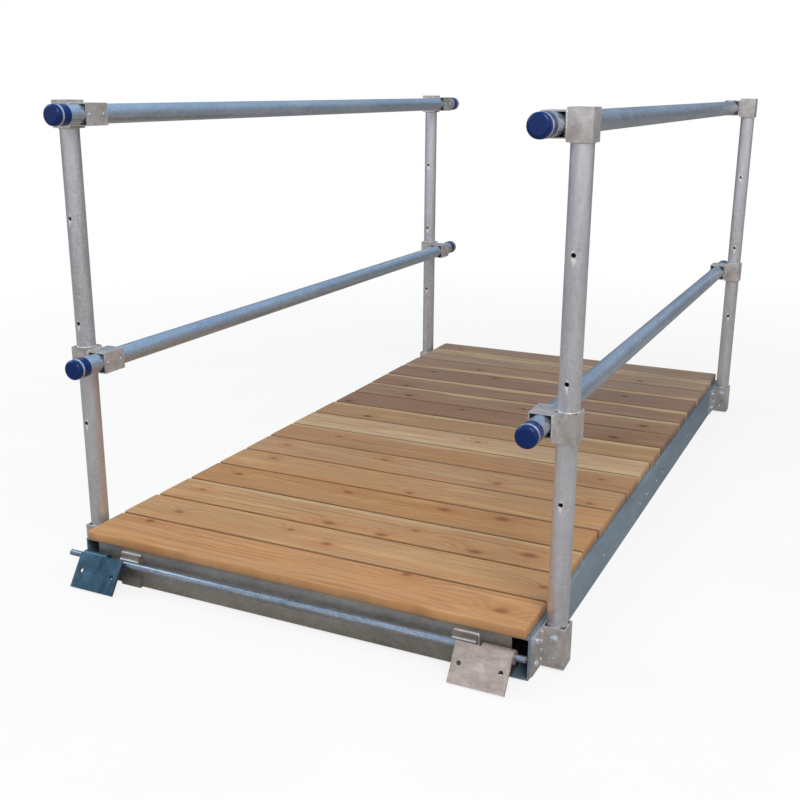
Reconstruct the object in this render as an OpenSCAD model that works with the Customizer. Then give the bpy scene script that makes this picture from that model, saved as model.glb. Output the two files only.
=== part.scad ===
// Dock gangway: a board deck on a channel frame with pipe handrails on both sides
// and two hinge plates on a rod at the front end.
// Millimetres. X across the walkway, Y along it (front, hinged end at -Y), Z up.
// z = 0 is the underside of the frame.

/* [Deck and frame] */
// length of the frame over its two end beams
frame_l = 2390; // [1800:1:3600]
// width over the webs of the two side beams
frame_w = 1232; // [900:1:1600]
// height of the channels the frame is made of
channel_h = 101.6; // [76:0.1:152]
// width of a channel's flanges
channel_flange = 41; // [30:0.5:60]
// thickness of a channel's web and flanges
channel_t = 3; // [2:0.1:8]
// distance between the middles of two neighbouring cross members
cross_pitch = 571; // [400:1:900]
// set-back of the board ends from the outer faces of the side beams
board_inset = 6.5; // [0:0.5:20]
// how far the first and last board reach past the end beams
deck_overhang = 6; // [0:0.5:15]
// width of a deck board
board_w = 144.5; // [90:0.5:149]
// thickness of a deck board
board_t = 25.4; // [19:0.1:38]
// number of deck boards
board_n = 16; // [10:1:24]

/* [Posts and rails] */
// outside diameter of the posts and rails
pipe_od = 48.3; // [42:0.1:60.3]
// wall of the posts and rails
pipe_wall = 2.8; // [2:0.1:4]
// distance from a frame end to the middle of the nearest posts
post_inset = 94; // [80:1:400]
// height of the middle of the top rails
top_rail_z = 1185; // [900:1:1300]
// height of the middle of the lower rails
mid_rail_z = 568; // [400:1:800]
// how far a rail with its cap reaches past a frame end
rail_overhang = 26; // [15:1:150]
// radius of the cross holes in the posts
post_hole_r = 5.2; // [3:0.1:8]
// height of the lowest cross hole in a post
post_hole_z = 396; // [300:1:500]
// distance between two neighbouring cross holes
post_hole_pitch = 268; // [150:1:300]

/* [Clamps and sockets] */
// wall of the square sleeves and sockets
sleeve_wall = 2.4; // [2:0.1:5]
// height of a clamp's sleeve on the post
post_sleeve_h = 67; // [50:1:90]
// length of a clamp's sleeve on the rail
rail_sleeve_l = 76; // [56:1:110]
// height of a post socket
socket_h = 98; // [70:1:150]
// height of the socket's underside
socket_z = 6; // [0:0.5:20]
// thickness of the plate that closes a socket
socket_floor_t = 4; // [3:0.5:8]
// length of the plate between a socket and its side beam
bracket_l = 170; // [80:1:180]
// thickness of that plate
bracket_t = 6; // [4:0.5:10]
// height of that plate
bracket_h = 92; // [70:1:98]
// length of a rail cap
cap_l = 45; // [30:1:60]
// wall of a rail cap
cap_wall = 1.2; // [1:0.1:4]
// thickness of the closed end of a rail cap
cap_end = 6; // [4:0.5:12]
// radius of the rounded rim of a rail cap's closed end
cap_round = 8; // [5:0.5:12]
// depth of the post's end below the top edge of the top clamp
post_recess = 3; // [0:0.5:8]

/* [Hinge end] */
// diameter of the hinge rod
rod_d = 15.8; // [12:0.1:19]
// length of the hinge rod beyond the width of the frame
rod_extra = 34; // [0:1:80]
// sideways offset of the hinge rod
rod_shift = -17; // [-20:1:20]
// height of the hinge rod
rod_z = 64; // [50:1:80]
// distance of the hinge rod's middle in front of the end beam
rod_standoff = 22; // [20:1:30]
// outside diameter of the tube the rod runs in
rod_tube_od = 22; // [20:0.5:28]
// width of a hinge plate
plate_w = 134; // [90:1:180]
// thickness of a hinge plate
plate_t = 6; // [4:0.5:10]
// reach of a hinge plate above the rod
plate_up = 6; // [4:1:12]
// reach of a hinge plate below the rod
plate_down = 87; // [70:1:95]
// lean of a hinge plate from plumb at rest
plate_lean = 34; // [20:1:60]
// distance from the side of the frame to the middle of a hinge plate
plate_inset = 86; // [70:1:200]
// sideways offset of both hinge plates
plate_shift = -5; // [-16:1:16]
// outside diameter of a hinge plate's knuckle
knuckle_od = 32; // [28:0.5:34]
// length of a hinge plate's knuckle
knuckle_l = 76; // [50:1:100]
// radius of the two holes in a hinge plate
plate_hole_r = 5.5; // [4:0.1:8]
// distance between the two holes in a hinge plate
plate_hole_pitch = 98; // [60:1:120]
// width of the fixed strap that holds the tube
strap_w = 60; // [40:1:90]
// distance from the side of the frame to the middle of a strap
strap_inset = 149; // [140:1:300]

/* [Hidden] */
$fn = 64;
fit_gap = 0.3;
rod_gap = 0.1;
move_gap = 5;
cut = 1;
half_l = frame_l / 2;
half_w = frame_w / 2;
deck_z = channel_h;
board_l = frame_w - 2 * board_inset;
deck_l = frame_l + 2 * deck_overhang;
board_pitch = (deck_l - board_w) / (board_n - 1);
sleeve_in = pipe_od + 2 * fit_gap;
sleeve_out = sleeve_in + 2 * sleeve_wall;
post_x = half_w + bracket_t + sleeve_out / 2;
post_y = half_l - post_inset;
rail_x = post_x - sleeve_out;
post_foot_z = socket_z + socket_floor_t;
post_top_z = top_rail_z + post_sleeve_h / 2 - post_recess;
cap_od = sleeve_in + 2 * cap_wall;
rail_l = frame_l + 2 * rail_overhang - 2 * cap_end;
rod_y = -half_l - rod_standoff;
strap_t = rod_standoff - rod_tube_od / 2;
rod_l = frame_w + rod_extra;
plate_x = half_w - plate_inset;
strap_x = half_w - strap_inset;
tube_l = 2 * (strap_x + strap_w / 2);
knuckle_offset = (plate_w - knuckle_l) / 2;

// ---- shared shapes ----

// a channel along Y, web towards +X, underside at z = 0
module channel(length) {
  difference() {
    translate([-channel_flange, -length / 2, 0])
      cube([channel_flange, length, channel_h]);
    translate([-channel_flange - cut, -length / 2 - cut, channel_t])
      cube([channel_flange - channel_t + cut, length + 2 * cut, channel_h - 2 * channel_t]);
  }
}

module tube(od, bore, length) {
  difference() {
    cylinder(d = od, h = length);
    translate([0, 0, -cut])
      cylinder(d = bore, h = length + 2 * cut);
  }
}

module square_sleeve(length) {
  difference() {
    translate([-sleeve_out / 2, -sleeve_out / 2, 0])
      cube([sleeve_out, sleeve_out, length]);
    translate([-sleeve_in / 2, -sleeve_in / 2, -cut])
      cube([sleeve_in, sleeve_in, length + 2 * cut]);
  }
}

// ---- frame ----

module side_beam(side) {
  color("silver")
    scale([side, 1, 1])
      translate([half_w, 0, 0])
        channel(frame_l);
}

module end_beam(end) {
  color("silver")
    scale([1, end, 1])
      translate([0, half_l, 0])
        rotate([0, 0, 90])
          channel(frame_w - 2 * channel_flange);
}

module cross_member(index) {
  color("silver")
    translate([0, (index - 2) * cross_pitch, 0]) {
      translate([0, channel_flange / 2, 0])
        rotate([0, 0, 90])
          channel(frame_w - 2 * channel_flange);
      for (side = [-1, 1])
        scale([side, 1, 1])
          translate([half_w - channel_flange, channel_flange / 2 - channel_t, channel_t])
            cube([channel_flange - channel_t, channel_t, channel_h - 2 * channel_t]);
    }
}

module deck_boards() {
  color("burlywood")
    for (i = [0 : board_n - 1])
      translate([-board_l / 2, -deck_l / 2 + i * board_pitch, deck_z])
        cube([board_l, board_w, board_t]);
}

// ---- posts ----

module bracket(side, end) {
  color("silver")
    scale([side, end, 1])
      translate([half_w, post_y - bracket_l / 2, socket_z])
        cube([bracket_t, bracket_l, bracket_h]);
}

module socket(side, end) {
  color("silver")
    scale([side, end, 1])
      translate([post_x, post_y, socket_z]) {
        square_sleeve(socket_h);
        translate([-sleeve_out / 2, -sleeve_out / 2, 0])
          cube([sleeve_out, sleeve_out, socket_floor_t]);
      }
}

module post(side, end) {
  color("lightgray")
    scale([side, end, 1])
      translate([post_x, post_y, 0])
        difference() {
          translate([0, 0, post_foot_z])
            tube(pipe_od, pipe_od - 2 * pipe_wall, post_top_z - post_foot_z);
          for (i = [0 : 2])
            translate([0, pipe_od, post_hole_z + i * post_hole_pitch])
              rotate([90, 0, 0])
                cylinder(r = post_hole_r, h = 2 * pipe_od);
        }
}

// sleeve round the post, and a sleeve round the rail beside it, flush at the frame's end
module clamp(side, end, rail_z) {
  color("silver")
    scale([side, end, 1]) {
      translate([post_x, post_y, rail_z - post_sleeve_h / 2])
        square_sleeve(post_sleeve_h);
      translate([rail_x, post_y + sleeve_out / 2, rail_z])
        rotate([90, 0, 0])
          square_sleeve(rail_sleeve_l);
    }
}

// ---- rails ----

module rail(side, rail_z) {
  color("lightgray")
    translate([side * rail_x, rail_l / 2, rail_z])
      rotate([90, 0, 0])
        tube(pipe_od, pipe_od - 2 * pipe_wall, rail_l);
}

// closed end towards -Y at y = 0
module cap() {
  rotate([-90, 0, 0])
    difference() {
      union() {
        cylinder(d = cap_od - 2 * cap_round, h = cap_l);
        translate([0, 0, cap_round])
          cylinder(d = cap_od, h = cap_l - cap_round);
        translate([0, 0, cap_round])
          rotate_extrude()
            translate([cap_od / 2 - cap_round, 0])
              circle(r = cap_round);
      }
      translate([0, 0, cap_end])
        cylinder(d = sleeve_in, h = cap_l);
    }
}

module caps(side) {
  color("midnightblue")
    for (end = [-1, 1])
      for (rail_z = [top_rail_z, mid_rail_z])
        translate([side * rail_x, 0, rail_z])
          scale([1, -end, 1])
            translate([0, -half_l - rail_overhang, 0])
              cap();
}

// ---- hinge end ----

module hinge_straps() {
  color("silver")
    for (side = [-1, 1])
      scale([side, 1, 1])
        translate([strap_x - strap_w / 2, -half_l - strap_t, 0])
          cube([strap_w, strap_t, rod_z + rod_tube_od]);
}

module hinge_tube() {
  color("silver")
    translate([-tube_l / 2, rod_y, rod_z])
      rotate([0, 90, 0])
        tube(rod_tube_od, rod_d + 2 * rod_gap, tube_l);
}

module hinge_rod() {
  color("gray")
    translate([rod_shift - rod_l / 2, rod_y, rod_z])
      rotate([0, 90, 0])
        cylinder(d = rod_d, h = rod_l);
}

// hinge plate at the origin of the rod, hanging plumb, knuckle towards +X
module plate_plumb() {
  plate_y = -knuckle_od / 2 - plate_t;
  difference() {
    union() {
      translate([-plate_w / 2, plate_y, -plate_down])
        cube([plate_w, plate_t, plate_down + plate_up]);
      translate([knuckle_offset - knuckle_l / 2, 0, 0])
        rotate([0, 90, 0])
          cylinder(d = knuckle_od, h = knuckle_l);
      translate([knuckle_offset - knuckle_l / 2, -knuckle_od / 2 - cut, -plate_up / 2])
        cube([knuckle_l, knuckle_od / 4, plate_up]);
    }
    translate([-plate_w, 0, 0])
      rotate([0, 90, 0])
        cylinder(d = rod_d + 2 * rod_gap, h = 2 * plate_w);
    for (dx = [-1, 1])
      translate([dx * plate_hole_pitch / 2, plate_y - cut, (plate_up - plate_down) / 2])
        rotate([-90, 0, 0])
          cylinder(r = plate_hole_r, h = plate_t + 2 * cut);
  }
}

module hinge_plate(side) {
  color("slategray")
    translate([side * plate_x + plate_shift, rod_y, rod_z])
      rotate([-plate_lean, 0, 0])
        scale([side, 1, 1])
          plate_plumb();
}

// ---- assembly ----

side_beam(-1);  // side_beam_l
side_beam(1);  // side_beam_r
end_beam(-1);  // end_beam_front
end_beam(1);  // end_beam_back
cross_member(1);  // cross_member_1
cross_member(2);  // cross_member_2
cross_member(3);  // cross_member_3
deck_boards();
bracket(-1, -1);  // bracket_fl
bracket(1, -1);  // bracket_fr
bracket(-1, 1);  // bracket_bl
bracket(1, 1);  // bracket_br
socket(-1, -1);  // socket_fl
socket(1, -1);  // socket_fr
socket(-1, 1);  // socket_bl
socket(1, 1);  // socket_br
post(-1, -1);  // post_fl
post(1, -1);  // post_fr
post(-1, 1);  // post_bl
post(1, 1);  // post_br
clamp(-1, -1, top_rail_z);  // clamp_top_fl
clamp(1, -1, top_rail_z);  // clamp_top_fr
clamp(-1, 1, top_rail_z);  // clamp_top_bl
clamp(1, 1, top_rail_z);  // clamp_top_br
clamp(-1, -1, mid_rail_z);  // clamp_mid_fl
clamp(1, -1, mid_rail_z);  // clamp_mid_fr
clamp(-1, 1, mid_rail_z);  // clamp_mid_bl
clamp(1, 1, mid_rail_z);  // clamp_mid_br
rail(-1, top_rail_z);  // rail_top_l
rail(1, top_rail_z);  // rail_top_r
rail(-1, mid_rail_z);  // rail_mid_l
rail(1, mid_rail_z);  // rail_mid_r
caps(-1);  // caps_l
caps(1);  // caps_r
hinge_straps();
hinge_tube();
hinge_rod();
hinge_plate(-1);  // hinge_plate_l
hinge_plate(1);  // hinge_plate_r
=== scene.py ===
"""Dock gangway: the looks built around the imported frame. Metres, +Z up, +Y along the walkway."""
import math
import random

import bmesh
import bpy
from mathutils import Matrix, Vector

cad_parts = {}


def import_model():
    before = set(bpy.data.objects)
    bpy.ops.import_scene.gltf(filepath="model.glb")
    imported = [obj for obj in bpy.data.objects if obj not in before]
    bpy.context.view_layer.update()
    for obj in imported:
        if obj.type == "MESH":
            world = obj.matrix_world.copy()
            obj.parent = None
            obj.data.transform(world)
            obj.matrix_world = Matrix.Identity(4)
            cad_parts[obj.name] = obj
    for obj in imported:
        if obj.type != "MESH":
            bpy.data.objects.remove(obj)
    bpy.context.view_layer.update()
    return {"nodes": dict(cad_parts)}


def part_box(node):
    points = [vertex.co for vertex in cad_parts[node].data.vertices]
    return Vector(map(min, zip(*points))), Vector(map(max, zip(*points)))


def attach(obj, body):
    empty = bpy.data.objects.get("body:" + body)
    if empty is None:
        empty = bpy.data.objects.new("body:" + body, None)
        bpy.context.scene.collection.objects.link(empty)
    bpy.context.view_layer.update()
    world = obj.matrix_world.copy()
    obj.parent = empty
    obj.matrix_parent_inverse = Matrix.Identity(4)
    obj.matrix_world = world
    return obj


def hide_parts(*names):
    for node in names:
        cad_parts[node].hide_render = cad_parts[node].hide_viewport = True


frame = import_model()

RIGHT, LEFT = 1, -1
FRONT, BACK = -1, 1
SIDES = {"l": LEFT, "r": RIGHT}
ENDS = {"f": FRONT, "b": BACK}
ROOT = "gangway"


# ---------------------------------------------------------------- colours and nodes

def srgb(red, green, blue):
    """A colour given as 0-255 screen values, as linear RGBA."""
    out = []
    for value in (red, green, blue):
        v = value / 255
        out.append(v / 12.92 if v <= 0.04045 else ((v + 0.055) / 1.055) ** 2.4)
    return (*out, 1.0)


class Graph:
    """Short calls for building a material's node tree."""

    def __init__(self, name):
        self.material = bpy.data.materials.new(name)
        self.material.use_nodes = True
        self.tree = self.material.node_tree
        self.tree.nodes.clear()
        self.output = self.tree.nodes.new("ShaderNodeOutputMaterial")
        self.coord = self.tree.nodes.new("ShaderNodeTexCoord").outputs["Object"]

    def put(self, socket, value):
        if isinstance(value, bpy.types.NodeSocket):
            self.tree.links.new(value, socket)
        else:
            socket.default_value = value

    def node(self, kind, inputs=None, **settings):
        made = self.tree.nodes.new("ShaderNode" + kind)
        for key, value in settings.items():
            setattr(made, key, value)
        for key, value in (inputs or {}).items():
            self.put(made.inputs[key], value)
        return made

    def math(self, operation, a, b=0.0, clamp=False):
        made = self.node("Math", {0: a, 1: b}, operation=operation, use_clamp=clamp)
        return made.outputs[0]

    def scaled(self, vector, scale):
        made = self.node("VectorMath", {0: vector, 1: scale}, operation="MULTIPLY")
        return made.outputs[0]

    def noise(self, vector, scale, detail=3.0, rough=0.5, distortion=0.0):
        inputs = {"Vector": vector, "Scale": scale, "Detail": detail, "Roughness": rough}
        inputs["Distortion"] = distortion
        return self.node("TexNoise", inputs).outputs["Fac"]

    def cells(self, vector, scale):
        """One random value for each small cell."""
        made = self.node("TexVoronoi", {"Vector": vector, "Scale": scale})
        split = self.node("SeparateColor", {"Color": made.outputs["Color"]})
        return split.outputs[0]

    def ramp(self, value, low, high, out_low=0.0, out_high=1.0):
        inputs = {"Value": value, 1: low, 2: high, 3: out_low, 4: out_high}
        return self.node("MapRange", inputs).outputs[0]

    def mix(self, factor, a, b, blend="MIX"):
        made = self.node("Mix", data_type="RGBA", blend_type=blend)
        for socket, value in ((made.inputs[0], factor), (made.inputs[6], a), (made.inputs[7], b)):
            self.put(socket, value)
        return made.outputs[2]

    def shaded(self, colour, shade):
        """A colour times a grey value."""
        grey = self.node("CombineXYZ", {0: shade, 1: shade, 2: shade}).outputs[0]
        return self.mix(1.0, colour, grey, "MULTIPLY")

    def bell(self, value, sharpness):
        """e to the power of -sharpness times the value."""
        return self.math("POWER", math.e, self.math("MULTIPLY", value, -sharpness))

    def bump(self, height, strength, distance):
        inputs = {"Height": height, "Strength": strength, "Distance": distance}
        return self.node("Bump", inputs).outputs[0]

    def finish(self, **inputs):
        shader = self.node("BsdfPrincipled", inputs)
        self.tree.links.new(shader.outputs[0], self.output.inputs["Surface"])
        return self.material


HOLE_HEIGHTS = (0.396, 0.664, 0.932)


def zinc_runs_and_glints(g):
    """Mask of the pale marks above and below the holes through the posts: partly zinc runs, partly
    painted highlight for the glints there.
    """
    low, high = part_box("post_fr")
    post_x = (low[0] + high[0]) / 2
    split = g.node("SeparateXYZ", {"Vector": g.coord})
    side = g.math("SUBTRACT", g.math("ABSOLUTE", split.outputs["X"]), post_x)
    wobble = g.ramp(g.noise(g.coord, 60.0, 3.0, 0.6), 0.3, 0.7, -0.004, 0.004)
    side = g.math("DIVIDE", g.math("ADD", side, wobble), 0.0052)
    total = None
    for height in HOLE_HEIGHTS:
        along = g.math("DIVIDE", g.math("SUBTRACT", split.outputs["Z"], height - 0.005), 0.019)
        far = g.math("ADD", g.math("MULTIPLY", side, side), g.math("MULTIPLY", along, along))
        drip_and_glint = g.bell(far, 1.0)
        total = drip_and_glint if total is None else g.math("MAXIMUM", total, drip_and_glint)
    return g.ramp(total, 0.35, 0.75, 0.0, 0.85)


def galvanised(name, light, dark, rough=0.36, spangle=110.0, cloud=9.0, stain=0.25,
               stain_colour=(128, 112, 98), stretch=(1.0, 1.0, 1.0), metal=0.75, spangle_mix=0.12,
               bump=0.10, drips_and_glints=False):
    """Zinc-coated steel: faint crystals, cloudy patches, drawn streaks, water stains."""
    g = Graph(name)
    place = g.scaled(g.coord, stretch)
    clouds = g.noise(place, cloud, 5.0, 0.6, 0.4)
    crystals = g.cells(g.coord, spangle)
    tone = g.math("ADD", g.math("MULTIPLY", clouds, 1.0 - spangle_mix),
                  g.math("MULTIPLY", crystals, spangle_mix))
    tone = g.ramp(tone, 0.32, 0.66)
    colour = g.mix(tone, srgb(*dark), srgb(*light))
    fine = g.noise(g.scaled(place, (3.0, 3.0, 3.0)), cloud * 3.0, 4.0, 0.65)
    shade = g.ramp(fine, 0.3, 0.7, 0.90, 1.08)
    colour = g.shaded(colour, shade)
    blot = g.ramp(g.noise(g.scaled(g.coord, (1.0, 1.0, 0.45)), 15.0, 6.0, 0.66, 0.6), 0.52, 0.74)
    colour = g.mix(g.math("MULTIPLY", blot, stain), colour, srgb(*stain_colour))
    drip_and_glint = zinc_runs_and_glints(g) if drips_and_glints else None
    # painted highlight: near-white, less metallic marks at the post holes, partly zinc runs and partly
    # glints painted into the colour
    if drip_and_glint is not None:
        colour = g.mix(drip_and_glint, colour, srgb(250, 246, 246))
    roughness = g.math("ADD", g.ramp(crystals, 0.0, 1.0, rough - 0.03, rough + 0.05),
                       g.ramp(clouds, 0.3, 0.7, -0.04, 0.05))
    height = g.math("ADD", g.math("MULTIPLY", fine, 0.8), clouds)
    normal = g.bump(height, bump, 0.0006)
    metallic = g.ramp(blot, 0.0, 1.0, metal, metal - 0.2)
    if drip_and_glint is not None:
        metallic = g.math("MULTIPLY", metallic, g.ramp(drip_and_glint, 0.0, 1.0, 1.0, 0.25))
    return g.finish(**{"Base Color": colour, "Metallic": metallic, "Roughness": roughness,
                       "Normal": normal})


def plastic(name, colour, rough):
    """Moulded plastic, a little scuffed and dusty."""
    g = Graph(name)
    scuff = g.ramp(g.noise(g.coord, 70.0, 6.0, 0.7), 0.50, 0.75)
    dust = g.ramp(g.noise(g.coord, 22.0, 4.0, 0.6), 0.45, 0.8)
    base = g.mix(g.math("MULTIPLY", dust, 0.03), srgb(*colour), srgb(90, 120, 160))
    roughness = g.ramp(scuff, 0.0, 1.0, rough, rough + 0.2)
    normal = g.bump(scuff, 0.15, 0.0004)
    return g.finish(**{"Base Color": base, "Roughness": roughness, "Normal": normal,
                       "Specular IOR Level": 0.22, "Coat Weight": 0.12, "Coat Roughness": 0.08})


# knots seen on the boards: board number, place along it, place across it, radius
KNOTS = [
    (1, -0.50, 0.055, 0.013), (1, 0.26, 0.060, 0.012), (1, 0.53, -0.014, 0.017),
    (2, -0.47, -0.009, 0.012), (2, -0.13, 0.020, 0.010), (2, 0.00, -0.017, 0.014),
    (2, 0.58, -0.009, 0.012), (3, -0.51, 0.008, 0.009), (3, -0.06, -0.045, 0.016),
    (3, 0.10, -0.055, 0.015), (3, 0.17, 0.008, 0.009), (3, 0.36, -0.045, 0.018),
    (3, 0.49, -0.005, 0.021), (4, -0.49, 0.013, 0.015), (4, -0.12, 0.026, 0.013),
    (4, 0.18, 0.027, 0.018), (4, 0.35, 0.035, 0.021), (5, -0.47, 0.032, 0.012),
    (5, 0.04, -0.050, 0.012), (6, -0.50, 0.011, 0.011), (6, -0.15, 0.021, 0.012),
    (6, 0.24, -0.018, 0.014), (6, 0.53, -0.050, 0.012), (7, -0.39, 0.015, 0.010),
    (7, 0.51, 0.003, 0.010), (8, 0.05, 0.014, 0.010), (9, -0.41, -0.040, 0.014),
    (9, 0.20, 0.010, 0.013), (10, -0.56, -0.050, 0.014), (10, -0.14, 0.031, 0.009),
    (10, 0.44, -0.035, 0.017), (11, -0.39, -0.034, 0.015), (11, 0.06, -0.012, 0.009),
    (11, 0.50, -0.017, 0.015), (12, -0.46, -0.060, 0.011), (12, 0.22, 0.012, 0.011),
    (13, -0.45, 0.028, 0.011), (13, -0.18, 0.048, 0.013), (13, 0.35, 0.024, 0.011),
    (14, -0.29, -0.012, 0.010), (15, 0.35, -0.032, 0.010), (16, -0.50, -0.008, 0.009),
]
KNOT_LONG = 1.7
NEAR_BOARDS = 8
KNOT_RED = (112, 66, 42)
KNOT_DARK = (62, 48, 44)

# each board's colour, nearest board first
BOARD_TONES = [
    (190, 146, 104), (188, 150, 110), (186, 148, 108), (180, 138, 94),
    (184, 146, 106), (180, 144, 108), (172, 134, 98), (188, 160, 130),
    (168, 136, 100), (142, 112, 88), (150, 120, 96), (146, 116, 96),
    (140, 113, 95), (152, 126, 106), (160, 136, 114), (152, 130, 112),
]

# boards with a pale band along one edge, partly sapwood and partly painted highlight on the board
# edge: which edge, and how far out from the middle it starts
SAPWOOD_AND_EDGE_HIGHLIGHT = {
    3: (1, 0.058), 7: (1, 0.056), 8: (-1, 0.040), 9: (1, 0.050), 11: (1, 0.052),
    12: (1, 0.046), 14: (-1, 0.050), 15: (1, 0.044), 16: (-1, 0.048),
}


def tint(colour, red, green, blue):
    """A written colour with each channel scaled."""
    return srgb(*(min(255, channel * s) for channel, s in zip(colour, (red, green, blue))))


def cedar(number, middle_y):
    """Softwood board `number`: soft growth rings that bend round its own knots."""
    tone = BOARD_TONES[number - 1]
    g = Graph("cedar_%02d" % number)
    seed = number * 3.7
    split = g.node("SeparateXYZ", {"Vector": g.coord})
    along = split.outputs["X"]
    across = g.math("SUBTRACT", split.outputs["Y"], middle_y)
    flat = g.node("CombineXYZ", {"X": along, "Y": across, "Z": seed}).outputs[0]
    swell = g.noise(g.scaled(flat, (1.1, 6.0, 1.0)), 1.5, 2.0, 0.5)
    ripple = g.noise(g.scaled(flat, (5.0, 30.0, 1.0)), 1.5, 3.0, 0.6)
    rings = g.math("ADD", g.math("MULTIPLY", across, 62.0 + 14.0 * math.sin(seed)),
                   g.math("MULTIPLY", swell, 6.0))
    rings = g.math("ADD", rings, g.math("MULTIPLY", ripple, 0.8))
    heart = None
    halo = None
    for board_number, x, y, radius in KNOTS:
        if board_number != number:
            continue
        dx = g.math("DIVIDE", g.math("SUBTRACT", along, x), radius * KNOT_LONG)
        dy = g.math("DIVIDE", g.math("SUBTRACT", across, y), radius)
        near = g.math("ADD", g.math("MULTIPLY", dx, dx), g.math("MULTIPLY", dy, dy))
        pull = g.bell(near, 0.20)
        rings = g.math("ADD", rings, g.math("MULTIPLY", pull, 2.6))
        eye = g.bell(near, 1.9)
        heart = eye if heart is None else g.math("MAXIMUM", heart, eye)
        halo = pull if halo is None else g.math("MAXIMUM", halo, pull)
    wave = g.math("SINE", g.math("MULTIPLY", rings, 2.0 * math.pi))
    late = g.math("POWER", g.ramp(wave, -1.0, 1.0), 2.2)
    patches = g.noise(g.scaled(flat, (1.8, 8.0, 1.0)), 2.0, 4.0, 0.6)
    depth = g.ramp(patches, 0.3, 0.7, 0.20, 0.62)
    colour = g.mix(g.math("MULTIPLY", late, depth), tint(tone, 1.05, 1.05, 1.05),
                   tint(tone, 0.80, 0.72, 0.64))
    drift = g.ramp(g.noise(g.scaled(flat, (0.8, 9.0, 1.0)), 2.2, 3.0, 0.55), 0.36, 0.68)
    colour = g.mix(g.math("MULTIPLY", drift, 0.50), colour, tint(tone, 1.08, 0.97, 0.84))
    pale = g.ramp(g.noise(g.scaled(flat, (1.0, 12.0, 3.0)), 2.6, 3.0, 0.6), 0.52, 0.72)
    colour = g.mix(g.math("MULTIPLY", pale, 0.70), colour, tint(tone, 1.16, 1.18, 1.14))
    # pale band along one board edge: partly sapwood tone, partly painted highlight where the board
    # edge catches light
    if number in SAPWOOD_AND_EDGE_HIGHLIGHT:
        edge, reach = SAPWOOD_AND_EDGE_HIGHLIGHT[number]
        wander = g.noise(g.scaled(flat, (1.2, 1.0, 1.0)), 2.4, 3.0, 0.55)
        shift = g.ramp(wander, 0.3, 0.7, -0.016, 0.016)
        inward = g.math("ADD", g.math("MULTIPLY", across, edge), shift)
        sap_and_highlight = g.ramp(inward, reach - 0.003, reach + 0.003)
        colour = g.mix(g.math("MULTIPLY", sap_and_highlight, 0.75), colour, srgb(204, 178, 136))
    fibre = g.noise(g.scaled(flat, (6.0, 260.0, 1.0)), 2.0, 4.0, 0.65)
    shade = g.ramp(fibre, 0.25, 0.75, 0.80, 1.14)
    colour = g.shaded(colour, shade)
    streak = g.ramp(g.noise(g.scaled(flat, (1.5, 44.0, 1.0)), 1.4, 4.0, 0.62), 0.58, 0.76)
    colour = g.mix(g.math("MULTIPLY", streak, 0.66), colour, tint(tone, 0.70, 0.58, 0.48))
    grey = g.ramp(g.noise(g.scaled(flat, (2.0, 9.0, 1.0)), 2.6, 5.0, 0.6), 0.42, 0.72)
    weather = 0.06 + 0.34 * (number - 1) / (BOARD_COUNT - 1)
    colour = g.mix(g.math("MULTIPLY", grey, weather), colour, srgb(146, 134, 128))
    if heart is not None:
        colour = g.mix(g.math("MULTIPLY", halo, 0.30), colour, tint(tone, 0.94, 0.74, 0.58))
        greyed = number > NEAR_BOARDS
        strength = 0.85 if greyed else 0.66
        core = KNOT_DARK if greyed else KNOT_RED
        colour = g.mix(g.ramp(heart, 0.15, 0.9, 0.0, strength), colour, srgb(*core))
    # painted shade: board sides and eased edges darkened where they face the shaded gaps between
    # boards; board 1's open front edge is left out
    rim = g.ramp(g.math("ABSOLUTE", across), BOARD_W / 2 - 0.0034, BOARD_W / 2 - 0.0006)
    if number == 1:
        rim = g.math("MULTIPLY", rim, g.math("GREATER_THAN", across, 0.0))
    colour = g.mix(g.math("MULTIPLY", rim, 0.55), colour, srgb(84, 58, 40))
    height = g.math("ADD", g.math("MULTIPLY", fibre, 0.7), g.math("MULTIPLY", late, -0.4))
    normal = g.bump(height, 0.30, 0.0006)
    roughness = g.ramp(fibre, 0.2, 0.8, 0.58, 0.76)
    return g.finish(**{"Base Color": colour, "Roughness": roughness, "Normal": normal,
                       "Specular IOR Level": 0.25})


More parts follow.
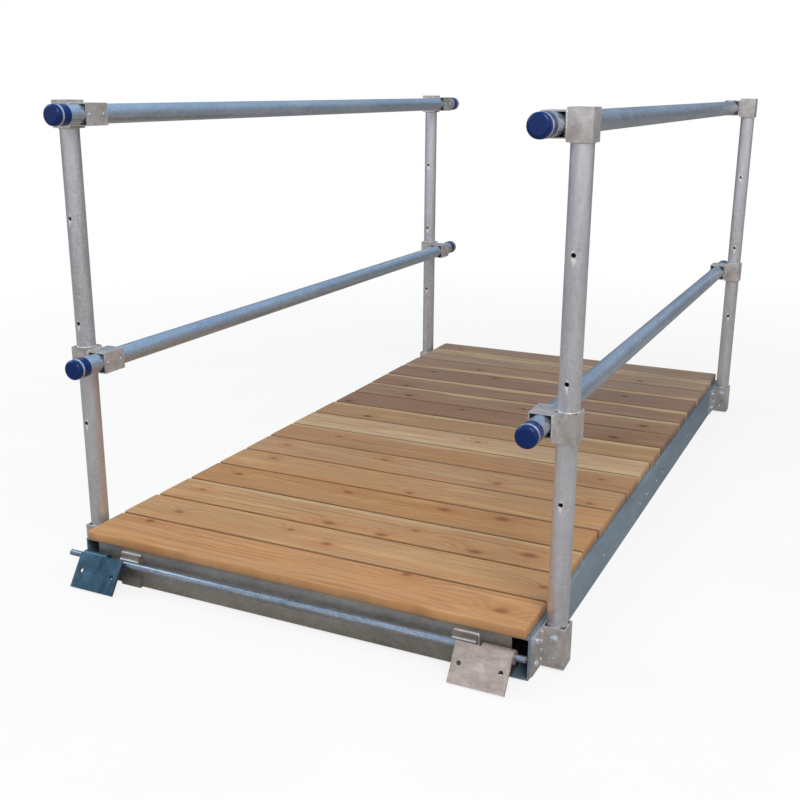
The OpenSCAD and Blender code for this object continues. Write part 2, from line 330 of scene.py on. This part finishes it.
MAT = {
    # tone streaked along X: partly drawn zinc streaks, partly painted reflection streaks on the front
    # beam
    "frame": galvanised("frame_steel", (184, 180, 174), (146, 142, 138), 0.40, 120.0, 9.0, 0.35,
                        stretch=(0.25, 1.0, 1.0)),
    "fitting": galvanised("fitting_steel", (218, 214, 212), (172, 168, 166), 0.38, 140.0, 22.0, 0.45,
                          stain_colour=(174, 154, 144), metal=0.55, spangle_mix=0.08),
    # the blue-grey base colour of the side beams is a painted sky reflection
    "beam": galvanised("beam_steel", (154, 178, 196), (116, 140, 160), 0.38, 120.0, 7.0, 0.14,
                       stretch=(1.0, 0.2, 1.0), metal=0.35),
    "post": galvanised("post_steel", (218, 220, 228), (196, 198, 206), 0.30, 150.0, 12.0, 0.14,
                       stain_colour=(176, 170, 166), stretch=(1.0, 1.0, 0.15), bump=0.05, drips_and_glints=True),
    "rail": galvanised("rail_steel", (192, 206, 222), (168, 182, 200), 0.26, 150.0, 12.0, 0.10,
                       stain_colour=(176, 172, 170), stretch=(1.0, 0.15, 1.0), bump=0.05),
    # both hinge plates are the same steel; the dark blue-grey of the left one and the pale grey-pink
    # of the right one are painted reflections
    "plate_l": galvanised("plate_steel_painted_dark_reflection", (84, 114, 132), (46, 72, 88), 0.34, 90.0, 20.0, 0.16,
                          stain_colour=(112, 136, 134), metal=0.7, spangle_mix=0.04),
    "plate_r": galvanised("plate_steel_painted_pale_reflection", (206, 190, 180), (164, 146, 136), 0.46, 90.0, 22.0, 0.80,
                          stain_colour=(142, 124, 112), stretch=(0.3, 1.0, 1.0), metal=0.45),
    "rod": galvanised("rod_steel", (178, 186, 198), (120, 130, 142), 0.22, 160.0, 18.0, 0.20,
                      stretch=(0.15, 1.0, 1.0), bump=0.0),
    "weld": galvanised("weld_zinc", (230, 222, 216), (186, 176, 170), 0.36, 200.0, 60.0, 0.25,
                       stain_colour=(164, 140, 124), metal=0.4),
    "bolt": galvanised("bolt_zinc", (222, 230, 240), (186, 194, 204), 0.24, 260.0, 70.0, 0.06,
                       bump=0.0),
    "cap": plastic("navy_plastic", (2, 40, 104), 0.18),
}


# ---------------------------------------------------------------- mesh helpers

def make(name, bm, material, body=ROOT):
    """Turns a bmesh into a piece that rides on a body."""
    mesh = bpy.data.meshes.new(name)
    bmesh.ops.recalc_face_normals(bm, faces=bm.faces)
    bm.to_mesh(mesh)
    bm.free()
    mesh.polygons.foreach_set("use_smooth", [True] * len(mesh.polygons))
    obj = bpy.data.objects.new(name, mesh)
    bpy.context.collection.objects.link(obj)
    obj.data.materials.append(material)
    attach(obj, body)
    return obj


def sharp_edges(obj, angle=35.0):
    """Keeps hard corners crisp on a smooth-shaded piece."""
    obj.data.set_sharp_from_angle(angle=math.radians(angle))


def basis(direction):
    """Two unit vectors at right angles to a direction and to each other."""
    d = Vector(direction).normalized()
    helper = Vector((0, 0, 1)) if abs(d.z) < 0.9 else Vector((1, 0, 0))
    u = d.cross(helper).normalized()
    return u, d.cross(u).normalized()


def ring_loft(bm, rings, close_ends=True):
    """Skins a list of equal-length vertex rings."""
    loops = [[bm.verts.new(p) for p in ring] for ring in rings]
    count = len(loops[0])
    for low, high in zip(loops, loops[1:]):
        for i in range(count):
            j = (i + 1) % count
            bm.faces.new((low[i], low[j], high[j], high[i]))
    if close_ends:
        bm.faces.new(reversed(loops[0]))
        bm.faces.new(loops[-1])


def turned(bm, centre, direction, profile, segments=24, phase=0.0):
    """A turned solid: profile is a list of (distance along the axis, radius)."""
    centre = Vector(centre)
    d = Vector(direction).normalized()
    u, v = basis(d)
    rings = []
    for along, radius in profile:
        ring = []
        for i in range(segments):
            a = 2 * math.pi * i / segments + phase
            ring.append(centre + d * along + (u * math.cos(a) + v * math.sin(a)) * radius)
        rings.append(ring)
    ring_loft(bm, rings)


BEAD_PITCH = 0.0055
BEAD_SIDES = 8


def bead(bm, points, radius, seed, closed=False, flat=1.0):
    """A weld bead along a path, in overlapping ripples."""
    rnd = random.Random(seed)
    pts = [Vector(p) for p in points]
    if closed:
        pts.append(pts[0])
    dense = []
    for a, b in zip(pts, pts[1:]):
        steps = max(1, round((b - a).length / (BEAD_PITCH / 4)))
        dense += [a.lerp(b, i / steps) for i in range(steps)]
    if not closed:
        dense.append(pts[-1])
    rings = []
    last = len(dense) - 1
    travelled = 0.0
    for i, p in enumerate(dense):
        before = dense[i - 1] if i else (dense[-1] if closed else p)
        after = dense[(i + 1) % len(dense)] if i < last or closed else p
        d = (after - before).normalized()
        u, v = basis(d)
        travelled += (p - before).length
        wave = abs(math.sin(math.pi * travelled / BEAD_PITCH))
        ripple = 0.86 + 0.14 * wave + rnd.uniform(-0.04, 0.04)
        taper = 1.0 if closed else min(1.0, 0.35 + i / 4, 0.35 + (last - i) / 4)
        r = radius * ripple * taper
        rings.append([p + (u * math.cos(a) + v * math.sin(a) * flat) * r
                      for a in (2 * math.pi * k / BEAD_SIDES for k in range(BEAD_SIDES))])
    if closed:
        rings.append(rings[0])
    ring_loft(bm, rings, close_ends=not closed)
    if closed:
        bmesh.ops.remove_doubles(bm, verts=bm.verts, dist=1e-6)


def circle(centre, direction, radius, count=40):
    """Points evenly spaced round a circle."""
    centre = Vector(centre)
    u, v = basis(direction)
    return [centre + (u * math.cos(a) + v * math.sin(a)) * radius
            for a in (2 * math.pi * k / count for k in range(count))]


def hex_head(bm, seat, direction, across, thick, washer=0.0, turn=0.3):
    """A hexagon head with a chamfered top, on a washer of the given radius."""
    flat_r = across / math.sqrt(3)
    lift = 0.0
    if washer:
        lift = 0.0016
        turned(bm, seat, direction, [(0, washer), (lift * 0.7, washer), (lift, washer * 0.94)], 24)
    base = Vector(seat) + Vector(direction).normalized() * lift
    turned(bm, base, direction,
           [(0, flat_r), (thick * 0.82, flat_r), (thick, flat_r * 0.88)], 6, turn)


def dome_head(bm, seat, direction, radius, thick):
    """A low round head."""
    steps = 5
    profile = [(0, radius)]
    for i in range(1, steps + 1):
        a = 0.5 * math.pi * i / steps
        profile.append((thick * math.sin(a), max(radius * math.cos(a), radius * 0.08)))
    turned(bm, seat, direction, profile, 16)


# ---------------------------------------------------------------- places read from the frame

def span(node):
    """A node's lowest and highest corners."""
    low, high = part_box(node)
    return Vector(low), Vector(high)


DECK_LOW, DECK_HIGH = span("deck_boards")
BOARD_COUNT = len(BOARD_TONES)
BOARD_W = 0.1445
BOARD_PITCH = (DECK_HIGH.y - DECK_LOW.y - BOARD_W) / (BOARD_COUNT - 1)


def corner_points(half_x, half_y, radius, steps=4):
    """Outline of a rectangle with rounded corners, around the origin."""
    points = []
    for sx, sy, start in ((1, 1, 0), (-1, 1, 90), (-1, -1, 180), (1, -1, 270)):
        cx = sx * (half_x - radius)
        cy = sy * (half_y - radius)
        for i in range(steps + 1):
            a = math.radians(start + 90 * i / steps)
            points.append((cx + radius * math.cos(a), cy + radius * math.sin(a)))
    return points


BOARD_EASE = 0.0032
BOARD_CORNER = 0.0065
END_SCATTER = 0.005


def board(number):
    """One deck board with eased edges; its ends fall short of the deck's by a few millimetres."""
    rnd = random.Random(100 + number)
    low_x = DECK_LOW.x + rnd.uniform(0.0, END_SCATTER)
    high_x = DECK_HIGH.x - rnd.uniform(0.0, END_SCATTER)
    middle_y = DECK_LOW.y + BOARD_W / 2 + (number - 1) * BOARD_PITCH
    centre_x = (low_x + high_x) / 2
    half_x = (high_x - low_x) / 2
    levels = []
    for rise, inset in ((0.0, 1.0), (0.3, 0.3), (1.0, 0.0)):
        levels.append((DECK_LOW.z + rise * BOARD_EASE, inset * BOARD_EASE))
    for drop, inset in ((1.0, 0.0), (0.3, 0.3), (0.08, 0.7), (0.0, 1.5)):
        levels.append((DECK_HIGH.z - drop * BOARD_EASE, inset * BOARD_EASE))
    rings = []
    for z, inset in levels:
        outline = corner_points(half_x - inset, BOARD_W / 2 - inset, BOARD_CORNER)
        rings.append([Vector((centre_x + x, middle_y + y, z)) for x, y in outline])
    bm = bmesh.new()
    ring_loft(bm, rings)
    made = make("board_%02d" % number, bm, cedar(number, middle_y))
    sharp_edges(made, 50)
    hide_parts("deck_boards")


for number in range(1, BOARD_COUNT + 1):
    board(number)


# ---------------------------------------------------------------- clamps, posts and caps

RING_BEAD_TOP = 0.0024
RING_BEAD_LOW = 0.0020
FACE_SEAM_BEAD = 0.0030
TOP_SEAM_BEAD = 0.0026
TOP_SEAM_HALF = 0.024
TOP_SEAM_DROP = 0.0066
SCREW_PLACES = (0.013, 0.062)
SCREW_RADIUS = 0.0043
SCREW_THICK = 0.0022


def clamp_details(kind, end_key, side_key):
    """Welds and screws of one clamp."""
    side = SIDES[side_key]
    end = ENDS[end_key]
    tag = end_key + side_key
    low, high = span("clamp_%s_%s" % (kind, tag))
    post_low, post_high = span("post_" + tag)
    post = (post_low + post_high) / 2
    pipe_r = (post_high.x - post_low.x) / 2
    face_y = high.y if end == BACK else low.y
    inner_x = low.x if side == RIGHT else high.x
    joint_x = (low.x + high.x) / 2
    up = (0, 0, 1)
    bm = bmesh.new()
    if kind == "mid":
        bead(bm, circle((post.x, post.y, high.z), up, pipe_r), RING_BEAD_TOP, tag + "t", True)
    bead(bm, circle((post.x, post.y, low.z), up, pipe_r), RING_BEAD_LOW, tag + "b", True)
    seam_y = face_y - end * 0.0004
    seam = [(joint_x, seam_y, low.z + 0.008), (joint_x, seam_y, high.z - 0.006)]
    bead(bm, seam, FACE_SEAM_BEAD, kind + tag + "s", flat=0.8)
    seam_z = high.z - TOP_SEAM_DROP
    top_seam = [(joint_x, post.y - TOP_SEAM_HALF, seam_z), (joint_x, post.y + TOP_SEAM_HALF, seam_z)]
    bead(bm, top_seam, TOP_SEAM_BEAD, kind + tag + "u")
    make("clamp_weld_%s_%s" % (kind, tag), bm, MAT["weld"])
    bm = bmesh.new()
    middle_z = (low.z + high.z) / 2
    for distance in SCREW_PLACES:
        seat = (inner_x, face_y - end * distance, middle_z)
        dome_head(bm, seat, (-side, 0, 0), SCREW_RADIUS, SCREW_THICK)
    make("clamp_screws_%s_%s" % (kind, tag), bm, MAT["bolt"])


BAND_PLACE = 0.0145
BAND_WIDTH = 0.0065
BAND_PROUD = 0.0004


def cap_glare_bands(side_key):
    """A bright metal band round each rail cap: a painted highlight for the glare ring on the caps."""
    low, high = span("caps_" + side_key)
    bm = bmesh.new()
    x = (low.x + high.x) / 2
    radius = (high.x - low.x) / 2
    for z in (low.z + radius, high.z - radius):
        for end, tip in ((FRONT, low.y), (BACK, high.y)):
            start = (x, tip - end * BAND_PLACE, z)
            profile = [(0, radius - 0.001), (0.0005, radius + BAND_PROUD),
                       (BAND_WIDTH - 0.0005, radius + BAND_PROUD), (BAND_WIDTH, radius - 0.001)]
            turned(bm, start, (0, -end, 0), profile, 40)
    made = make("cap_glare_bands_" + side_key, bm, MAT["bolt"])
    sharp_edges(made, 40)


for end_key in ENDS:
    for side_key in SIDES:
        for kind in ("top", "mid"):
            clamp_details(kind, end_key, side_key)
for side_key in SIDES:
    cap_glare_bands(side_key)


# ---------------------------------------------------------------- sockets and brackets

SOCKET_BOLT_DROP = 0.026
SOCKET_BOLT_ACROSS = 0.0145
SOCKET_WASHER = 0.0105
PLATE_BOLT_ACROSS = 0.0120
PLATE_WASHER = 0.0088
PLATE_BOLT_INSET = 0.026
STITCH_BEAD = 0.0034
STITCH_LENGTH = 0.013
STITCH_PITCH = 0.0225
RIM_BEAD = 0.0015
RIM_INSET = 0.0018


def socket_bolts(end_key, side_key):
    """The bolt through a socket, two small heads on its front, and its bracket plate's bolts."""
    side = SIDES[side_key]
    tag = end_key + side_key
    low, high = span("socket_" + tag)
    plate_low, plate_high = span("bracket_" + tag)
    middle_x = (low.x + high.x) / 2
    outer_x = plate_high.x if side == RIGHT else plate_low.x
    bolt_z = high.z - SOCKET_BOLT_DROP
    front = (0, -1, 0)
    back = (0, 1, 0)
    bm = bmesh.new()
    hex_head(bm, (middle_x, low.y, bolt_z), front, SOCKET_BOLT_ACROSS, 0.0062, SOCKET_WASHER)
    hex_head(bm, (middle_x, high.y, bolt_z), back, SOCKET_BOLT_ACROSS, 0.0075, SOCKET_WASHER, 0.1)
    dome_head(bm, (middle_x - side * 0.004, low.y, high.z - 0.040), front, 0.0026, 0.0018)
    dome_head(bm, (middle_x, low.y, low.z + 0.022), front, 0.0036, 0.0012)
    for y in (plate_low.y + PLATE_BOLT_INSET, plate_high.y - PLATE_BOLT_INSET):
        for z in (plate_low.z + 0.020, plate_high.z - 0.016):
            hex_head(bm, (outer_x, y, z), (side, 0, 0), PLATE_BOLT_ACROSS, 0.0048, PLATE_WASHER)
    made = make("socket_bolts_" + tag, bm, MAT["bolt"])
    sharp_edges(made, 30)


def socket_welds(end_key, side_key):
    """Stitch welds between a socket and its bracket plate, and the zinc along its rim."""
    side = SIDES[side_key]
    tag = end_key + side_key
    low, high = span("socket_" + tag)
    inner_x = low.x if side == RIGHT else high.x
    bm = bmesh.new()
    for y in (low.y, high.y):
        z = low.z + 0.008
        part = 0
        while z < high.z - 0.014:
            path = [(inner_x, y, z), (inner_x, y, z + STITCH_LENGTH)]
            bead(bm, path, STITCH_BEAD, "%s%d%.3f" % (tag, part, y))
            z += STITCH_PITCH
            part += 1
    rim = high.z - 0.0006
    near_x, far_x = low.x + RIM_INSET, high.x - RIM_INSET
    near_y, far_y = low.y + RIM_INSET, high.y - RIM_INSET
    corners = [(near_x, near_y, rim), (far_x, near_y, rim),
               (far_x, far_y, rim), (near_x, far_y, rim)]
    bead(bm, corners, RIM_BEAD, tag + "rim", True)
    make("socket_welds_" + tag, bm, MAT["weld"])


for end_key in ENDS:
    for side_key in SIDES:
        socket_bolts(end_key, side_key)
        socket_welds(end_key, side_key)


# ---------------------------------------------------------------- side beams

RIVET_PLACES = (0.067, 0.155, 0.571)
RIVET_HEIGHT = 0.043
RIVET_RADIUS = 0.0044
FLANGE_WELD_BEAD = 0.0012
FLANGE_WELD_END = 0.030


def beam_rivets(side_key):
    """Small fasteners along the outer face of a side beam."""
    side = SIDES[side_key]
    low, high = span("side_beam_" + side_key)
    outer_x = high.x if side == RIGHT else low.x
    bm = bmesh.new()
    for place in RIVET_PLACES:
        for y in (-place, place):
            dome_head(bm, (outer_x, y, RIVET_HEIGHT), (side, 0, 0), RIVET_RADIUS, 0.0022)
    make("beam_rivets_" + side_key, bm, MAT["bolt"])


def frame_welds():
    """Short welds along both flange edges at each open end of the side beams."""
    bm = bmesh.new()
    for side_key, side in SIDES.items():
        low, high = span("side_beam_" + side_key)
        edge_x = low.x if side == RIGHT else high.x
        for y in (low.y, high.y):
            end = FRONT if y < 0 else BACK
            for z, mark in ((0.0016, 0.0016), (high.z - 0.002, high.z - 0.006)):
                path = [(edge_x, y - end * 0.001, z), (edge_x, y - end * FLANGE_WELD_END, z)]
                bead(bm, path, FLANGE_WELD_BEAD, "%s%.2f%.3f" % (side_key, y, mark))
    make("frame_welds", bm, MAT["weld"])


for side_key in SIDES:
    beam_rivets(side_key)
frame_welds()


# ---------------------------------------------------------------- hinge end

STRAP_W = 0.060
TUBE_BEAD = 0.0042
STRAP_BEAD = 0.0034
STRAP_WELD_DROP = 0.030


def hinge_details():
    """Weld beads that hold the straps to the beam and the tube to the straps."""
    strap_low, strap_high = span("hinge_straps")
    tube_top = span("hinge_tube")[1].z - 0.0035
    tube_y = strap_low.y - 0.0015
    face_y = span("end_beam_front")[0].y - 0.0005
    bm = bmesh.new()
    for side in (LEFT, RIGHT):
        inner = side * (strap_high.x - STRAP_W)
        outer = side * strap_high.x
        bead(bm, [(inner, tube_y, tube_top), (outer, tube_y, tube_top)], TUBE_BEAD, "tube%d" % side)
        path = [(inner, face_y, strap_high.z + 0.0004), (outer, face_y, strap_high.z + 0.0004),
                (outer + side * 0.0004, face_y, strap_high.z - STRAP_WELD_DROP)]
        bead(bm, path, STRAP_BEAD, "strap%d" % side)
    make("strap_welds", bm, MAT["weld"])


hinge_details()


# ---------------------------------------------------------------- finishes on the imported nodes

def material_for(node):
    """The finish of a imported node."""
    if node.startswith("side_beam"):
        return MAT["beam"]
    if node.startswith("post"):
        return MAT["post"]
    if node.startswith("rail"):
        return MAT["rail"]
    if node.startswith(("socket", "bracket", "clamp")):
        return MAT["fitting"]
    if node.startswith("caps"):
        return MAT["cap"]
    if node == "hinge_plate_l":
        return MAT["plate_l"]
    if node == "hinge_plate_r":
        return MAT["plate_r"]
    if node in ("hinge_rod", "hinge_tube"):
        return MAT["rod"]
    return MAT["frame"]


def soften(obj, width):
    """A small bevel on sharp edges."""
    bevel = obj.modifiers.new("soft_edges", "BEVEL")
    bevel.width = width
    bevel.segments = 2
    bevel.limit_method = "ANGLE"
    bevel.angle_limit = math.radians(50)


for name, obj in frame["nodes"].items():
    if name == "deck_boards":
        continue
    obj.data.materials.clear()
    obj.data.materials.append(material_for(name))
    if name.startswith(("socket", "clamp", "bracket", "hinge_plate", "hinge_straps")):
        soften(obj, 0.0009)


# ---------------------------------------------------------------- stage, light, camera

def stage():
    """A wide pale floor with a painted shadow under the deck, that fades into the white backdrop."""
    mesh = bpy.data.meshes.new("floor")
    bm = bmesh.new()
    half = 12.0
    corners = ((-half, -half), (half, -half), (half, half), (-half, half))
    bm.faces.new([bm.verts.new((x, y, -0.0005)) for x, y in corners])
    bm.to_mesh(mesh)
    bm.free()
    floor = bpy.data.objects.new("floor", mesh)
    bpy.context.collection.objects.link(floor)
    g = Graph("floor_paint")
    speckle = g.ramp(g.noise(g.coord, 3.0, 4.0), 0.3, 0.7)
    path = g.node("LightPath").outputs["Is Camera Ray"]
    split = g.node("SeparateXYZ", {"Vector": g.coord})
    out_x = g.math("SUBTRACT", g.math("ABSOLUTE", split.outputs["X"]), DECK_HIGH.x)
    out_y = g.math("SUBTRACT", g.math("ABSOLUTE", split.outputs["Y"]), DECK_HIGH.y)
    beyond_painted_shadow = g.ramp(g.math("MAXIMUM", out_x, out_y), -0.025, 0.0)
    paint = g.mix(speckle, (0.86, 0.86, 0.86, 1), (0.90, 0.90, 0.90, 1))
    # painted shadow: under the deck the floor is painted near black for camera rays and loses its
    # white lift
    paint = g.mix(beyond_painted_shadow, (0.10, 0.11, 0.12, 1), paint)
    paint = g.mix(path, (0.42, 0.39, 0.36, 1), paint)
    matt = g.node("BsdfDiffuse", {"Color": paint}).outputs[0]
    white = g.node("Emission", {"Color": (1, 1, 1, 1), "Strength": 1.0}).outputs[0]
    lift = g.math("MULTIPLY", g.math("MULTIPLY", path, beyond_painted_shadow), 0.80)
    seen = g.node("MixShader", {0: lift, 1: matt, 2: white}).outputs[0]
    reach = g.node("VectorMath", {0: g.coord}, operation="LENGTH").outputs["Value"]
    fade = g.math("MULTIPLY", g.ramp(reach, 1.9, 4.2), path)
    clear = g.node("BsdfTransparent").outputs[0]
    faded = g.node("MixShader", {0: fade, 1: seen, 2: clear}).outputs[0]
    g.tree.links.new(faded, g.output.inputs["Surface"])
    mesh.materials.append(g.material)


def world():
    """White to the camera; a pale sky over a dim warm horizon, brightest in front, to the metal."""
    made = bpy.data.worlds.new("studio")
    bpy.context.scene.world = made
    made.use_nodes = True
    tree = made.node_tree
    tree.nodes.clear()
    new = tree.nodes.new
    link = tree.links.new
    out = new("ShaderNodeOutputWorld")
    coord = new("ShaderNodeTexCoord").outputs["Generated"]
    split = new("ShaderNodeSeparateXYZ")
    link(coord, split.inputs[0])
    height = new("ShaderNodeMapRange")
    height.inputs["From Min"].default_value = 0.05
    height.inputs["From Max"].default_value = 0.75
    link(split.outputs["Z"], height.inputs["Value"])
    ahead = new("ShaderNodeVectorMath")
    ahead.operation = "DOT_PRODUCT"
    link(coord, ahead.inputs[0])
    ahead.inputs[1].default_value = (0.43, -0.90, 0.0)
    front = new("ShaderNodeMapRange")
    front.inputs["From Min"].default_value = -0.6
    front.inputs["From Max"].default_value = 0.85
    link(ahead.outputs["Value"], front.inputs["Value"])
    horizon = new("ShaderNodeMix")
    horizon.data_type = "RGBA"
    horizon.inputs[6].default_value = (0.16, 0.165, 0.18, 1)
    horizon.inputs[7].default_value = (1.08, 1.04, 1.02, 1)
    link(front.outputs[0], horizon.inputs[0])
    sky = new("ShaderNodeMix")
    sky.data_type = "RGBA"
    link(horizon.outputs[2], sky.inputs[6])
    sky.inputs[7].default_value = (0.50, 0.74, 1.0, 1)
    link(height.outputs[0], sky.inputs[0])
    seen = new("ShaderNodeBackground")
    seen.inputs["Color"].default_value = (1, 1, 1, 1)
    reflected = new("ShaderNodeBackground")
    reflected.inputs["Strength"].default_value = 0.95
    link(sky.outputs[2], reflected.inputs["Color"])
    soft = new("ShaderNodeBackground")
    soft.inputs["Color"].default_value = (0.96, 0.98, 1.0, 1)
    soft.inputs["Strength"].default_value = 0.55
    path = new("ShaderNodeLightPath")
    glossy = new("ShaderNodeMixShader")
    link(path.outputs["Is Glossy Ray"], glossy.inputs[0])
    link(soft.outputs[0], glossy.inputs[1])
    link(reflected.outputs[0], glossy.inputs[2])
    camera_mix = new("ShaderNodeMixShader")
    link(path.outputs["Is Camera Ray"], camera_mix.inputs[0])
    link(glossy.outputs[0], camera_mix.inputs[1])
    link(seen.outputs[0], camera_mix.inputs[2])
    link(camera_mix.outputs[0], out.inputs["Surface"])


def area_light(name, place, target, size, power, colour):
    """A soft round lamp that faces a target."""
    data = bpy.data.lights.new(name, "AREA")
    data.shape = "DISK"
    data.size = size
    data.energy = power
    data.color = colour
    obj = bpy.data.objects.new(name, data)
    bpy.context.collection.objects.link(obj)
    obj.location = place
    obj.rotation_euler = (Vector(target) - Vector(place)).to_track_quat("-Z", "Y").to_euler()


CAMERA_PLACE = (1.2466, -3.1925, 1.2534)
CAMERA_TURN = (25.349, 16.383, 0.354)
CAMERA_LENS = 47.94


def camera():
    """The photograph's point of view; its turn is yaw, pitch and roll in degrees."""
    yaw, pitch, roll = (math.radians(angle) for angle in CAMERA_TURN)
    reach = math.cos(pitch)
    forward = Vector((-math.sin(yaw) * reach, math.cos(yaw) * reach, -math.sin(pitch)))
    level = Vector((math.cos(yaw), math.sin(yaw), 0))
    above = level.cross(forward)
    right = level * math.cos(roll) + above * math.sin(roll)
    up = above * math.cos(roll) - level * math.sin(roll)
    data = bpy.data.cameras.new("camera")
    data.sensor_width = 36.0
    data.lens = CAMERA_LENS
    data.clip_end = 200.0
    obj = bpy.data.objects.new("camera", data)
    bpy.context.collection.objects.link(obj)
    turn = Matrix((right, up, -forward)).transposed().to_4x4()
    turn.translation = Vector(CAMERA_PLACE)
    obj.matrix_world = turn
    bpy.context.scene.camera = obj


stage()
world()
area_light("key", (2.6, -3.4, 4.6), (0, 0, 0.3), 3.0, 150, (1.0, 0.97, 0.93))
area_light("fill", (-4.2, -1.5, 3.4), (0, 0, 0.5), 3.5, 70, (0.86, 0.93, 1.0))
camera()
bpy.context.scene.view_settings.view_transform = "Standard"
